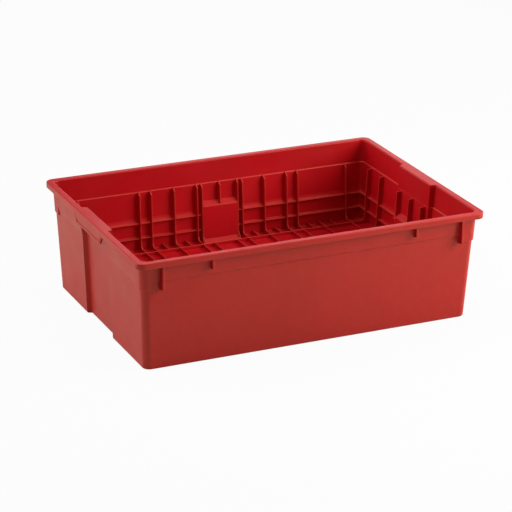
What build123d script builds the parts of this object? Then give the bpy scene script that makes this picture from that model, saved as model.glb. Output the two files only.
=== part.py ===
from build123d import *
import os

# Overall sizes of the tub, in millimetres
# +X runs along the length, +Y to the back, +Z up, from the middle of the base
rim_length = 600.0
rim_width = 424.0
tub_height = 185.0
base_length = 564.0
base_width = 381.0

# Drafted side walls, with an upper band that is set outwards above an inner ledge
wall_thickness = 4.0
wall_corner_radius = 12.0
least_corner_radius = 2.0
band_depth = 39.0
band_jog = 2.0
step_lift = 3.0
step_rise = 2.0
corner_step_drop = 10.0
base_edge_radius = 1.5
corner_reach = 18.0

# Turned-down rim around the top
rim_overhang = 10.5
rim_corner_radius = 14.0
flange_thickness = 3.5
skirt_depth = 10.0
skirt_thickness = 3.0
rim_edge_radius = 1.6

# Hand grips at the two ends, each over a recess that runs down the end wall
grip_shift = 5.0
grip_half_width = 58.0
grip_slant = 9.0
recess_depth = 6.5
grip_margin = 6.0
lip_depth = 24.0
lip_thickness = 4.0
lip_inset = 2.0
lip_groove_rise = 3.5
lip_groove_height = 3.5
lip_groove_depth = 2.0
lip_end_gap = 1.0

# Raised floor with a grid of low ribs on it, placed in steps of the upright ribs' pitch
floor_underside = 40.0
floor_thickness = 3.5
floor_rib_height = 6.0
floor_rib_thickness = 2.4
floor_rows_each_side = 4
floor_rib_steps = (0.5, 1, 2, 3, 3.5, 4.5)
short_floor_rib_steps = (1.5, 2.5, 4, 5)
side_foot_reach = 20.0
end_foot_reach = 16.0

# Upright ribs inside the walls, which carry the base of a tub stacked on top
rib_pitch = 42.0
rib_shift = 7.8
rib_thickness = 3.0
rib_depth = 8.5
rib_tip_run = 6.5
rib_tip_drop = 4.0
rib_foot_radius = 4.0
rib_steps = (1, 2, 3, 3.5)
corner_rib_inset = 52.0
end_rib_spacing = 45.0
end_rib_top_drop = 2.5
end_rib_tip_drop = 1.0

# Two level ribs that run round the inside, as heights over the floor ribs
upper_rail_rise = 42.0
lower_rail_rise = 15.8
rail_face_height = 1.5
rail_slope_height = 14.0
lower_rail_slope_height = 11.0
rail_depth = 5.0

# Pads that fill the middle of the rib pattern, as drops below the ledge
side_pad_width = 66.0
side_pad_drop = 32.0
end_pad_drop = 41.0
pad_top_drop = 7.0

# Gussets that stand outside, between the long walls and the rim
gusset_thickness = 3.0
gusset_setback = 0.6
short_gusset_inset = 124.2
short_gusset_depth = 28.0
tall_gusset_inset = 41.6
tall_gusset_depth = 51.0
gusset_foot_rise = 2.0

# Heights and places that follow from the sizes above
reach = 20.0
wall_top = tub_height - flange_thickness
skirt_bottom = tub_height - skirt_depth
ledge_height = tub_height - band_depth
wall_step_top = ledge_height + step_lift
corner_step_top = ledge_height - corner_step_drop
end_rib_top = ledge_height - end_rib_top_drop
floor_top = floor_underside + floor_thickness
floor_rib_top = floor_top + floor_rib_height
grip_tip_half_width = grip_half_width - grip_slant
grip_zone_half_width = grip_half_width + grip_margin
corner_x = min(base_length, rim_length - 2 * rim_overhang) / 2 - corner_reach
corner_y = min(base_width, rim_width - 2 * rim_overhang) / 2 - corner_reach
side_pad_top = ledge_height - side_pad_drop
end_pad_top = ledge_height - end_pad_drop
rail_levels = (
    (floor_rib_top + upper_rail_rise, rail_slope_height),
    (floor_rib_top + lower_rail_rise, lower_rail_slope_height),
)


def half_length(z):
    """Half the length over the drafted end walls at height z."""
    draft = rim_length / 2 - rim_overhang - base_length / 2
    return base_length / 2 + draft * z / skirt_bottom


def half_width(z):
    """Half the width over the drafted long walls at height z."""
    draft = rim_width / 2 - rim_overhang - base_width / 2
    return base_width / 2 + draft * z / skirt_bottom


def side_face(z):
    """Y of the ribs' inner edge on the back wall."""
    return half_width(z) - wall_thickness - rib_depth


def end_face(z):
    """X of the ribs' inner edge on the plain right end wall."""
    return half_length(z) - wall_thickness - rib_depth


def grip_face(z):
    """X of the ribs' inner edge on the pressed-in panel."""
    return end_face(z) - recess_depth


def wall_outline(z, offset):
    """Plan outline at height z, set outwards from the lower wall's outer face."""
    length = 2 * (half_length(z) + offset)
    width = 2 * (half_width(z) + offset)
    radius = max(wall_corner_radius + offset, least_corner_radius)
    return Pos(0, 0, z) * RectangleRounded(length, width, radius)


def drafted_block(low, low_offset, high, high_offset):
    """Solid between two plan outlines."""
    return loft([wall_outline(low, low_offset), wall_outline(high, high_offset)], ruled=True)


def zone(x_low, x_high, y_low, y_high, z_low=-reach, z_high=tub_height + reach):
    """Plain block that picks one stretch out of a ring-shaped solid."""
    centre = Pos((x_low + x_high) / 2, (y_low + y_high) / 2, (z_low + z_high) / 2)
    return centre * Box(x_high - x_low, y_high - y_low, z_high - z_low)


def above(z):
    """Everything over one height."""
    return zone(-rim_length, rim_length, -rim_width, rim_width, z)


def half_turn(solid):
    """The same piece at the opposite end of the tub."""
    return Rot(0, 0, 180) * solid


def across(solid):
    """The same piece on the opposite long wall."""
    return mirror(solid, about=Plane.XZ)


def stepped_body(step_top):
    """Body of the walls, filled, with the step outwards to the band under one height."""
    step_low = step_top - step_rise
    lower_body = drafted_block(0, 0, step_low, 0)
    lower_body = fillet(lower_body.edges().group_by(Axis.Z)[0], base_edge_radius)
    step_body = drafted_block(step_low, 0, step_top, band_jog)
    band_body = drafted_block(step_top, band_jog, wall_top, band_jog)
    return lower_body + step_body + band_body


# Wall shell: a stepped body, hollowed by a lower cavity and a wider band cavity
inner_offset = -wall_thickness
band_offset = band_jog - wall_thickness
lower_cavity = drafted_block(-reach, inner_offset, ledge_height, inner_offset)
band_cavity = drafted_block(ledge_height, band_offset, tub_height + reach, band_offset)
outer_body = stepped_body(wall_step_top)
wall_shell = outer_body - lower_cavity - band_cavity
corner_shell = stepped_body(corner_step_top) - lower_cavity - band_cavity


# Grip recess of the right end: one slanted-sided outline, pressed in from outside
def grip_side(depth):
    """Half width of the recess outline where it is this deep, or this far out if negative."""
    return grip_half_width - depth * grip_slant / recess_depth


def grip_outline(z, inset):
    """Plan outline of the panel's inner side, moved further in by an inset."""
    face = half_length(z)
    root = wall_thickness + inset
    tip = root + recess_depth
    start = wall_thickness - band_jog
    start_half = grip_side(start - root)
    corners = [
        (face - tip, -grip_tip_half_width),
        (face - tip, grip_tip_half_width),
        (face - start, start_half),
        (face, start_half),
        (face, -start_half),
        (face - start, -start_half),
    ]
    return Pos(0, -grip_shift, z) * make_face(Polyline(*corners, close=True))


def grip_block(low, low_inset, high, high_inset):
    """Solid of the panel's inner side between two heights."""
    return loft([grip_outline(low, low_inset), grip_outline(high, high_inset)], ruled=True)


recess_mouth = band_jog + rim_overhang
recess_sections = []
for recess_z in (-reach, wall_top):
    recess_face = half_length(recess_z)
    recess_corners = [
        (recess_face - recess_depth, -grip_tip_half_width),
        (recess_face - recess_depth, grip_tip_half_width),
        (recess_face + recess_mouth, grip_side(-recess_mouth)),
        (recess_face + recess_mouth, -grip_side(-recess_mouth)),
    ]
    recess_outline = make_face(Polyline(*recess_corners, close=True))
    recess_sections.append(Pos(0, -grip_shift, recess_z) * recess_outline)
grip_recess = loft(recess_sections, ruled=True)
grip_panel_block = grip_block(0, 0, tub_height, 0)
grip_zone = Pos(0, -grip_shift, 0) * zone(0, rim_length, -grip_zone_half_width, grip_zone_half_width)
end_zone = zone(corner_x, rim_length, -corner_y, corner_y)

nodes = {}

# Long walls, corner posts and plain end walls
long_zone = zone(-corner_x, corner_x, corner_y, rim_width)
nodes["back_wall"] = wall_shell & long_zone
nodes["front_wall"] = across(nodes["back_wall"])
nodes["back_right_corner"] = corner_shell & zone(corner_x, rim_length, corner_y, rim_width)
nodes["front_right_corner"] = across(nodes["back_right_corner"])
nodes["front_left_corner"] = half_turn(nodes["back_right_corner"])
nodes["back_left_corner"] = across(nodes["front_left_corner"])
end_walls = (wall_shell & end_zone) - grip_zone
rear_half = zone(0, rim_length, -grip_shift, rim_width)
nodes["right_rear_end_wall"] = end_walls & rear_half
nodes["right_front_end_wall"] = end_walls - rear_half
nodes["left_front_end_wall"] = half_turn(nodes["right_rear_end_wall"])
nodes["left_rear_end_wall"] = half_turn(nodes["right_front_end_wall"])

# Pressed-in panels under the grips
below_flange = zone(0, rim_length, -rim_width, rim_width, 0, wall_top)
grip_panel = (wall_shell & grip_zone) + (grip_panel_block & below_flange) - grip_recess
nodes["right_grip_panel"] = grip_panel
nodes["left_grip_panel"] = half_turn(grip_panel)

# Rim: a flat flange with a skirt, widened inwards over each grip
flange_outline = RectangleRounded(rim_length, rim_width, rim_corner_radius)
skirt_radius = max(rim_corner_radius - skirt_thickness, least_corner_radius)
skirt_hollow = RectangleRounded(
    rim_length - 2 * skirt_thickness, rim_width - 2 * skirt_thickness, skirt_radius
)
flange = Pos(0, 0, wall_top) * extrude(flange_outline, flange_thickness) - band_cavity
flange_zone = zone(-rim_length, rim_length, -rim_width, rim_width, wall_top, tub_height)
grip_flange = grip_panel_block & flange_zone
flange = flange + grip_flange + half_turn(grip_flange)
flange = fillet(flange.edges().group_by(Axis.Z)[-1], rim_edge_radius)
skirt = Pos(0, 0, skirt_bottom) * extrude(flange_outline - skirt_hollow, skirt_depth - flange_thickness)
skirt = skirt - grip_zone - half_turn(grip_zone)
rim = flange + skirt
nodes["back_rim"] = rim & long_zone
nodes["front_rim"] = across(nodes["back_rim"])
nodes["back_right_rim_corner"] = rim & zone(corner_x, rim_length, corner_y, rim_width)
nodes["front_right_rim_corner"] = across(nodes["back_right_rim_corner"])
nodes["front_left_rim_corner"] = half_turn(nodes["back_right_rim_corner"])
nodes["back_left_rim_corner"] = across(nodes["front_left_rim_corner"])
end_rims = (rim & end_zone) - grip_zone
nodes["right_rear_rim"] = end_rims & rear_half
nodes["right_front_rim"] = end_rims - rear_half
nodes["left_front_rim"] = half_turn(nodes["right_rear_rim"])
nodes["left_rear_rim"] = half_turn(nodes["right_front_rim"])
nodes["right_grip_top"] = rim & grip_zone
nodes["left_grip_top"] = half_turn(nodes["right_grip_top"])

# Deeper skirt that the fingers close on, with a groove outside over its lower edge
lip_outer = rim_length / 2
lip_bottom = tub_height - lip_depth
groove_low = lip_bottom + lip_groove_rise
groove_high = groove_low + lip_groove_height
lip_section = make_face(
    Polyline(
        (lip_outer, wall_top),
        (lip_outer, groove_high),
        (lip_outer - lip_groove_depth, groove_high),
        (lip_outer - lip_groove_depth, groove_low),
        (lip_outer, groove_low),
        (lip_outer, lip_bottom),
        (lip_outer - lip_thickness, lip_bottom),
        (lip_outer - lip_thickness, wall_top),
        close=True,
    )
)
lip = extrude(Plane.XZ * lip_section, grip_half_width - lip_inset, both=True)
skirt_half = grip_zone_half_width - lip_end_gap
lip_skirt = zone(
    lip_outer - skirt_thickness, lip_outer, -skirt_half, skirt_half, skirt_bottom, wall_top
)
nodes["right_grip_lip"] = Pos(0, -grip_shift, 0) * (lip + lip_skirt)
nodes["left_grip_lip"] = half_turn(nodes["right_grip_lip"])

# Raised floor, let in between the walls and the pressed-in panels
panels = grip_panel_block + half_turn(grip_panel_block)
floor_slab = zone(-rim_length, rim_length, -rim_width, rim_width, floor_underside, floor_top)
nodes["floor_panel"] = (lower_cavity & floor_slab) - panels


# Upright ribs and pads, as profiles that start behind the wall's inner face
def rib_profile(face, top, tip_drop):
    """Rib section as run inwards and height: a sloped tip, and a foot that bends out over the floor."""
    bend = floor_rib_top + rib_foot_radius
    foot = face(bend) - rib_foot_radius
    outline = [
        Line((face(top) + rib_depth + wall_thickness, top), (face(top) + rib_tip_run, top)),
        Line((face(top) + rib_tip_run, top), (face(top), top - tip_drop)),
        Line((face(top), top - tip_drop), (face(bend), bend)),
        RadiusArc((face(bend), bend), (foot, floor_rib_top), rib_foot_radius),
        Line((foot, floor_rib_top), (face(top) + rib_depth + wall_thickness, floor_rib_top)),
        Line(
            (face(top) + rib_depth + wall_thickness, floor_rib_top),
            (face(top) + rib_depth + wall_thickness, top),
        ),
    ]
    return make_face(outline)


def pad_profile(face, top):
    """Pad section with a sloped top, down to the floor ribs' height."""
    back = face(top) + rib_depth + wall_thickness
    brow = top - pad_top_drop
    brow_slope = pad_top_drop / rib_depth
    corners = [
        (back, top + brow_slope * (back - face(brow) - rib_depth)),
        (face(brow), brow),
        (face(floor_rib_top), floor_rib_top),
        (back, floor_rib_top),
    ]
    return make_face(Polyline(*corners, close=True))


def foot_profile(face, foot_reach):
    """Level foot of a pad, which runs out over the floor to the outer floor rib."""
    toe = face(floor_rib_top) - foot_reach
    heel = face(floor_rib_top) + rib_depth + wall_thickness
    corners = [(toe, floor_top), (heel, floor_top), (heel, floor_rib_top), (toe, floor_rib_top)]
    return make_face(Polyline(*corners, close=True))


def side_plate(profile, place, thickness):
    """Profile stood on the back wall at one place along X."""
    return Pos(place, 0, 0) * extrude(Plane.YZ * profile, thickness / 2, both=True)


def end_plate(profile, place, thickness):
    """Profile stood on the right end wall at one place along Y."""
    return Pos(0, place, 0) * extrude(Plane.XZ * profile, thickness / 2, both=True)


# Level ribs as one ring, before it is shared out between the walls
rail_ring = []
for underside, slope_height in rail_levels:
    crown = underside + rail_face_height
    slab = zone(-rim_length, rim_length, -rim_width, rim_width, underside, crown + slope_height)
    core_low = drafted_block(underside, inner_offset - rail_depth, crown, inner_offset - rail_depth)
    core_high = drafted_block(crown, inner_offset - rail_depth, crown + slope_height, inner_offset)
    rail_ring.append((lower_cavity & slab) - core_low - core_high)
rail_ring = rail_ring[0] + rail_ring[1]

# Back and front walls: upright ribs, the middle pad, and rails let in between them
side_rib = rib_profile(side_face, ledge_height, rib_tip_drop)
side_places = [-side_pad_width / 2, side_pad_width / 2]
for pitches in rib_steps:
    side_places.extend((-pitches * rib_pitch, pitches * rib_pitch))
side_ribs = [side_plate(side_rib, rib_shift + place, rib_thickness) for place in side_places]
corner_rib_place = rim_length / 2 - corner_rib_inset
side_ribs.append(side_plate(side_rib, corner_rib_place, rib_thickness))
side_ribs.append(side_plate(side_rib, -corner_rib_place, rib_thickness))
side_ribs.append(side_plate(side_rib, rib_shift, rib_thickness) & above(side_pad_top - pad_top_drop))
side_pad_section = pad_profile(side_face, side_pad_top)
side_pad = side_plate(side_pad_section, rib_shift, side_pad_width - rib_thickness) & lower_cavity
side_foot_section = foot_profile(side_face, side_foot_reach)
side_foot = side_plate(side_foot_section, rib_shift, side_pad_width + rib_thickness) & lower_cavity
side_rib_set = ((Part() + side_ribs) & lower_cavity) - side_pad
side_rails = rail_ring & zone(-rim_length, rim_length, corner_y, rim_width)
nodes["back_pad"] = side_pad
nodes["front_pad"] = across(side_pad)
nodes["back_pad_foot"] = side_foot
nodes["front_pad_foot"] = across(side_foot)
nodes["back_wall_ribs"] = side_rib_set
nodes["front_wall_ribs"] = across(side_rib_set)
nodes["back_wall_rails"] = side_rails - side_rib_set - side_pad
nodes["front_wall_rails"] = across(nodes["back_wall_rails"])

# Plain stretches of the end walls: upright ribs
end_rib = rib_profile(end_face, end_rib_top, end_rib_tip_drop)
end_rib_place = rim_width / 2 - corner_rib_inset
end_ribs = []
for place in (end_rib_place, end_rib_place - end_rib_spacing):
    end_ribs.append(end_plate(end_rib, place, rib_thickness))
    end_ribs.append(end_plate(end_rib, -place, rib_thickness))
end_rib_set = ((Part() + end_ribs) & lower_cavity) - grip_panel_block
nodes["right_end_ribs"] = end_rib_set
nodes["left_end_ribs"] = half_turn(end_rib_set)

# Pressed-in panels: upright ribs and the end pad
grip_rib = rib_profile(grip_face, end_rib_top, end_rib_tip_drop)
end_pad_section = pad_profile(grip_face, end_pad_top)
end_pad = end_plate(end_pad_section, -grip_shift, 2 * rib_pitch - rib_thickness)
end_pad = (end_pad & lower_cavity) - grip_panel_block
end_foot_section = foot_profile(grip_face, end_foot_reach)
end_foot = end_plate(end_foot_section, -grip_shift, 2 * rib_pitch + rib_thickness)
end_foot = (end_foot & lower_cavity) - grip_panel_block
grip_ribs = [end_plate(grip_rib, place - grip_shift, rib_thickness) for place in (-rib_pitch, rib_pitch)]
grip_ribs.append(end_plate(grip_rib, -grip_shift, rib_thickness) & above(end_pad_top - pad_top_drop))
grip_rib_set = ((Part() + grip_ribs) & lower_cavity) - grip_panel_block - end_pad
nodes["right_pad"] = end_pad
nodes["left_pad"] = half_turn(end_pad)
nodes["right_pad_foot"] = end_foot
nodes["left_pad_foot"] = half_turn(end_foot)
nodes["right_grip_ribs"] = grip_rib_set
nodes["left_grip_ribs"] = half_turn(grip_rib_set)

# Grid of floor ribs, with short ribs at half pitch along the long walls
rib_stock_height = 2 * floor_rib_height
cross_rib = Pos(0, 0, floor_top) * Box(floor_rib_thickness, 2 * rim_width, rib_stock_height)
long_rib = Pos(0, 0, floor_top) * Box(2 * rim_length, floor_rib_thickness, rib_stock_height)
outer_row = side_face(floor_rib_top) - side_foot_reach - floor_rib_thickness / 2
outer_column = grip_face(floor_rib_top) - end_foot_reach - floor_rib_thickness / 2
row_spacing = outer_row / (floor_rows_each_side - 0.5)
inner_field = zone(-rim_length, rim_length, -outer_row, outer_row)
floor_ribs = []
for side in (-1, 1):
    floor_ribs.append(Pos(side * outer_column, 0, 0) * cross_rib)
    for row in range(floor_rows_each_side):
        floor_ribs.append(Pos(0, side * (row + 0.5) * row_spacing, 0) * long_rib)
    for pitches in floor_rib_steps:
        floor_ribs.append(Pos(rib_shift + side * pitches * rib_pitch, 0, 0) * cross_rib)
    for pitches in short_floor_rib_steps:
        short_rib = Pos(rib_shift + side * pitches * rib_pitch, 0, 0) * cross_rib
        floor_ribs.append(short_rib - inner_field)
rib_layer = zone(-rim_length, rim_length, -rim_width, rim_width, floor_top, floor_rib_top)
floor_grid = ((Part() + floor_ribs) & (rib_layer & lower_cavity)) - panels
feet = side_foot + across(side_foot) + end_foot + half_turn(end_foot)
nodes["floor_ribs"] = floor_grid - feet

# End rails, which follow the plain wall and the pressed-in panel and stop at ribs and pad
end_rails = [rail_ring & end_zone]
for underside, slope_height in rail_levels:
    crown = underside + rail_face_height
    end_rails.append(grip_block(underside, rail_depth, crown, rail_depth))
    end_rails.append(grip_block(crown, rail_depth, crown + slope_height, 0))
end_rail_set = ((Part() + end_rails) & lower_cavity) - grip_panel_block
nodes["right_end_rails"] = end_rail_set - end_rib_set - grip_rib_set - end_pad
nodes["left_end_rails"] = half_turn(nodes["right_end_rails"])


# Gussets outside the long walls, tucked up inside the skirt
def gusset_pair(inset, depth):
    """Two plates from the back wall out to the rim, one near each end."""
    place = rim_length / 2 - inset
    low = tub_height - depth
    edge = rim_width / 2 - gusset_setback
    tucked = rim_width / 2 - skirt_thickness
    start = half_width(low) - wall_thickness / 2
    section = make_face(
        Polyline(
            (start, wall_top),
            (tucked, wall_top),
            (tucked, skirt_bottom),
            (edge, skirt_bottom),
            (edge, low + gusset_foot_rise),
            (start, low),
            close=True,
        )
    )
    plates = side_plate(section, place, gusset_thickness) + side_plate(section, -place, gusset_thickness)
    return plates - outer_body


nodes["back_short_gussets"] = gusset_pair(short_gusset_inset, short_gusset_depth)
nodes["front_short_gussets"] = across(nodes["back_short_gussets"])
nodes["back_tall_gussets"] = gusset_pair(tall_gusset_inset, tall_gusset_depth)
nodes["front_tall_gussets"] = across(nodes["back_tall_gussets"])

os.makedirs("parts", exist_ok=True)
for name, solid in nodes.items():
    export_step(solid, f"parts/{name}.step")
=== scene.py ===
"""Red moulded harvest tub: the looks of the part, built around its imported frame."""

import math
from collections import namedtuple

import bmesh
import bpy
from bpy.props import FloatProperty, FloatVectorProperty, PointerProperty
from bpy.types import Operator, Panel, PropertyGroup
from mathutils import Matrix, Vector


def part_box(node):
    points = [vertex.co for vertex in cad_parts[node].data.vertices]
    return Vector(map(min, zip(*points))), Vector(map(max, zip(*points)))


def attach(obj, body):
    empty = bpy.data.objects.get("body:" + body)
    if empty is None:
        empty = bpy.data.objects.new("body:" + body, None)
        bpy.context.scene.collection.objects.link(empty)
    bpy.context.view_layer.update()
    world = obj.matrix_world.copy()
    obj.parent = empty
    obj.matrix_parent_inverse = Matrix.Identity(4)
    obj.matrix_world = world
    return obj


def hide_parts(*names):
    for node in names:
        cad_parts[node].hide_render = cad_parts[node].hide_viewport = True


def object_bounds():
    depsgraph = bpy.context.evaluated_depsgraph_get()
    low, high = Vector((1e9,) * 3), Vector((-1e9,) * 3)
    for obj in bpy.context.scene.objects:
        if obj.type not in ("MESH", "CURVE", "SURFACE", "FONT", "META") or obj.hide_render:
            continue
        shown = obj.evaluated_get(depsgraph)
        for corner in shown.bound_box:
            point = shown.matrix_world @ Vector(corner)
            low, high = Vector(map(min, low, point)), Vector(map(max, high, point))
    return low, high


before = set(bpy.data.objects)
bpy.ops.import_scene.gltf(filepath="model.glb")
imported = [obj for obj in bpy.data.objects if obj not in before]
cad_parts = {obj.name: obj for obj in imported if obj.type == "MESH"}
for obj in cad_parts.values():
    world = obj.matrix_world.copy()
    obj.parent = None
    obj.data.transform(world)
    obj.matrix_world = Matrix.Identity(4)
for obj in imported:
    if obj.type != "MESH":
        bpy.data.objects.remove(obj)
cad_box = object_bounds()

bl_info = {
    "name": "Red Harvest Tub",
    "version": (1, 0, 0),
    "blender": (4, 5, 0),
    "location": "View3D > Sidebar > Tub",
    "description": "Moulded tub with ribs, grips and a studio stage, built around its packed frame",
    "category": "Object",
}

MM = 0.001
BODY = "root"
PLASTIC_NAME = "moulded red polypropylene"
# Face attribute: how far a face is painted paler, as wear and as a painted highlight or sheen
HIGHLIGHT_AND_WEAR = "rubbed"
WHITE = (1.0, 1.0, 1.0, 1.0)

# Places that the frame gives, in metres
rim_corner = cad_box[1]
end_wall_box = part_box("right_rear_end_wall")
long_wall_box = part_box("back_wall")
floor_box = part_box("floor_panel")
floor_rib_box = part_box("floor_ribs")
rib_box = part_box("back_wall_ribs")
end_rib_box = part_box("right_end_ribs")
rail_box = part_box("back_wall_rails")
side_pad_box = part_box("back_pad")
end_pad_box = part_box("right_pad")
side_foot_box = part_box("back_pad_foot")
end_foot_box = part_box("right_pad_foot")
corner_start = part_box("back_right_corner")[0]
lip_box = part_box("right_grip_lip")
short_gusset_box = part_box("back_short_gussets")
tall_gusset_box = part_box("back_tall_gussets")
side_pad_middle = (side_pad_box[0].x + side_pad_box[1].x) / 2
end_pad_middle = (end_pad_box[0].y + end_pad_box[1].y) / 2
grip_middle = (lip_box[0].y + lip_box[1].y) / 2
FRAME_WALL = 4.0 * MM

# Steps that rounded and curved forms are drawn in
EDGE_STEPS = 4
CORNER_STEPS = 10
LONG_STEPS = 24
FOOT_STEPS = 8
HOLLOW_STEPS = 8
BEVEL_STEPS = 3

# Digits of a place in metres, so that equal places meet
PLACE_DIGITS = 6

# Share of a ramp's run over which each of its ends is rounded
RAMP_BLEND = 0.1
# Run over which the skirt is let down to a grip's lip
LIP_RAMP = 10 * MM
# Where an end wall's section is drawn: along a recess's side and the lip's ramp, as shares of
# their runs, and on the flat panel between, as shares of the recess's half width
RECESS_STATIONS = (-0.1, -0.05, 0.0, 0.05, 0.1, 0.5, 0.9, 0.95, 1.0, 1.05, 1.1)
LIP_STATIONS = (-0.6, -0.55, -0.5, -0.4, -0.2, 0.0, 0.2, 0.4, 0.5, 0.55, 0.6)
PANEL_STATIONS = (0.1875, 0.375, 0.5625)

# Small sizes of the shell: the seams beside the corner posts, the least corner radius, the fillet
# at the floor, and how far the step outside runs down on the plain ends
SEAM = 0.4 * MM
LEAST_RADIUS = 1.5 * MM
FLOOR_FILLET = 1 * MM
END_STEP_EASE = 9 * MM
# Crease where the upper band meets the ledge
CREASE_RISE = 0.1 * MM
CREASE_RUN = 0.3 * MM
# Softened edges: run, and the inset of the point half-way round where there is one
CHAMFER = 0.8 * MM
UNDER_RIM = 1.2 * MM
UNDER_RIM_TURN = 0.36 * MM
SKIRT_EDGE = 1.2 * MM
SKIRT_EDGE_TURN = 0.32 * MM
STEP_TURN = 0.24 * MM
GROOVE_EDGE = 0.4 * MM
# Where the groove's lines lie on the plain skirt, over its lower edge
GROOVE_LINES_TOP = 6 * MM
GROOVE_LINES_GAP = 0.5 * MM

# How far plates run into the wall or floor, overlap what they join, and stand proud of the ribs
BURIED = 2 * MM
OVERLAP = 1 * MM
PLATE_LIFT = 0.1 * MM
# Least turn of an edge that gets rounded, in radians, and the bevel's round profile
LEAST_TURN = 0.45
ROUND_PROFILE = 0.5
FLOOR_ROUNDING_SHARE = 0.6
GUSSET_ROUNDING = 0.6 * MM
GUSSET_FOOT_RISE = 2 * MM
# Least upward share of a face's normal on top of the floor ribs
FACES_UP = 0.5
# Weight of large faces in the shading of edges
SHADING_WEIGHT = 80

# Steps of the ribs' pitch from the pads' middle: upright ribs, floor ribs and short floor ribs
RIB_STEPS = (1, 2, 3, 3.5)
FLOOR_RIB_STEPS = (1, 2, 3, 3.5, 4.5)
SHORT_RIB_STEPS = (1.5, 2.5, 4, 5)
FLOOR_ROWS = 4

# Rails: place of the upper one under its box's top, the nose as a share of the face, the rise of
# the shelf, the bend of the hollow, and how far its upper end is sunk in the wall
UPPER_RAIL_HEIGHT = 15.5 * MM
NOSE_SHARE = 0.6
SHELF_RISE = 0.2 * MM
HOLLOW_BEND = 2.2
HOLLOW_SUNK = 0.15 * MM

# How far surfaces are painted paler: partly wear, partly painted highlights on rounded edges, the ledge,
# the rail noses and the floor-rib tops, and a painted sheen over the outside
LEDGE_HIGHLIGHT_AND_WEAR = 0.55
RIB_HIGHLIGHT_AND_WEAR = 0.75
RAIL_HIGHLIGHT_AND_WEAR = 0.4
FLOOR_HIGHLIGHT_AND_WEAR = 0.7
OUTSIDE_SHEEN_AND_WEAR = 0.22

# Half the studio floor's length, and the share of plain white in it for the camera and reflections
FLOOR_HALF = 6.0
FLOOR_WHITE_SHARE = 0.95
MIRRORED_FLOOR_SHARE = 0.2
# Softboxes: power property, direction from the tub, distance and width in metres
SOFTBOXES = {
    "key_softbox": ("key", (0.75, -0.46, 0.5), 1.7, 1.1),
    "top_panel": ("top", (-0.15, 0.0, 1.0), 1.0, 0.7),
    "left_panel": ("left", (-0.8, 0.5, 0.5), 4.0, 3.6),
    "right_panel": ("right", (1.0, 0.1, 0.5), 2.0, 1.0),
    "back_panel": ("back", (0.5, 1.0, 0.5), 2.0, 1.0),
}
# Camera: sensor width in millimetres, focal length and picture width in pixels
SENSOR_WIDTH = 36.0
FOCAL_PIXELS = 2303.5
PICTURE_PIXELS = 512


def linear(hex_colour):
    """sRGB hex to a linear colour."""
    parts = [int(hex_colour[i:i + 2], 16) / 255 for i in (0, 2, 4)]
    channels = [c / 12.92 if c <= 0.04045 else ((c + 0.055) / 1.055) ** 2.4 for c in parts]
    return (*channels, 1.0)


def length(label, text, value):
    """Size property, in metres."""
    return FloatProperty(name=label, description=text, default=value, unit="LENGTH", precision=4)


def angle(label, text, degrees):
    """Angle property."""
    return FloatProperty(name=label, description=text, default=math.radians(degrees), subtype="ANGLE")


def watts(label, text, value):
    """Lamp power property."""
    return FloatProperty(name=label, description=text, default=value, unit="POWER")


def strength(label, text, value):
    """Property for the strength of the surroundings, where 1 is white."""
    return FloatProperty(name=label, description=text, default=value, subtype="FACTOR")


def tint(label, text, hex_colour):
    """Colour property, written as sRGB hex."""
    return FloatVectorProperty(
        name=label, description=text, default=linear(hex_colour),
        size=4, min=0.0, max=1.0, subtype="COLOR",
    )


class TubSizes(PropertyGroup):
    """Sizes of the moulding that a user would change"""

    wall: length("Wall", "Thickness of the side walls", FRAME_WALL)
    wall_radius: length("Wall corner", "Outer radius of the upright corners", 12 * MM)
    base_half_length: length(
        "Base half length", "Half the length at the foot", end_wall_box[0].x + FRAME_WALL
    )
    base_half_width: length(
        "Base half width", "Half the width at the foot", long_wall_box[0].y + FRAME_WALL
    )
    overhang: length("Rim overhang", "How far the rim stands out from the drafted wall", 10.5 * MM)
    jog: length("Band jog", "How far the upper band is set outwards over the ledge", 2 * MM)
    step_lift: length("Step lift", "Height of the step outside over the ledge inside", 3 * MM)
    step_rise: length("Step rise", "Height of the sloped step outside", 1 * MM)
    edge: length("Foot edge", "Rounding of the lower edge", 2.5 * MM)
    rim_radius: length("Rim corner", "Outer radius of the rim's corners", 14 * MM)
    rim_edge: length("Rim edge", "Rounding of the rim's outer edge", 2 * MM)
    rim_inner_edge: length("Rim inner edge", "Rounding of the rim's inner edge", 2.4 * MM)
    ledge_edge: length("Ledge edge", "Rounding of the ledge under the upper band", 1.3 * MM)
    skirt: length("Skirt", "Thickness of the turned-down skirt", 3 * MM)
    skirt_depth: length("Skirt depth", "Height of the skirt", 10 * MM)
    recess: length("Recess", "Depth of the pressed-in end panels", 6.5 * MM)
    grip_half: length("Grip half width", "Half the width of a recess at its mouth", 58 * MM)
    grip_slant: length("Grip slant", "Run of a recess's slanted sides", 3.5 * MM)
    lip: length("Lip", "Thickness of the grip's lip", 4 * MM)
    lip_inset: length("Lip inset", "How far the lip stops short of the recess's mouth", 2 * MM)
    groove: length("Lip groove", "Depth of the groove over the lip's lower edge", 2.2 * MM)
    groove_rise: length("Groove rise", "Height of the lip's edge under its groove", 3.5 * MM)
    groove_height: length("Groove height", "Height of the groove", 3.5 * MM)


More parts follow.
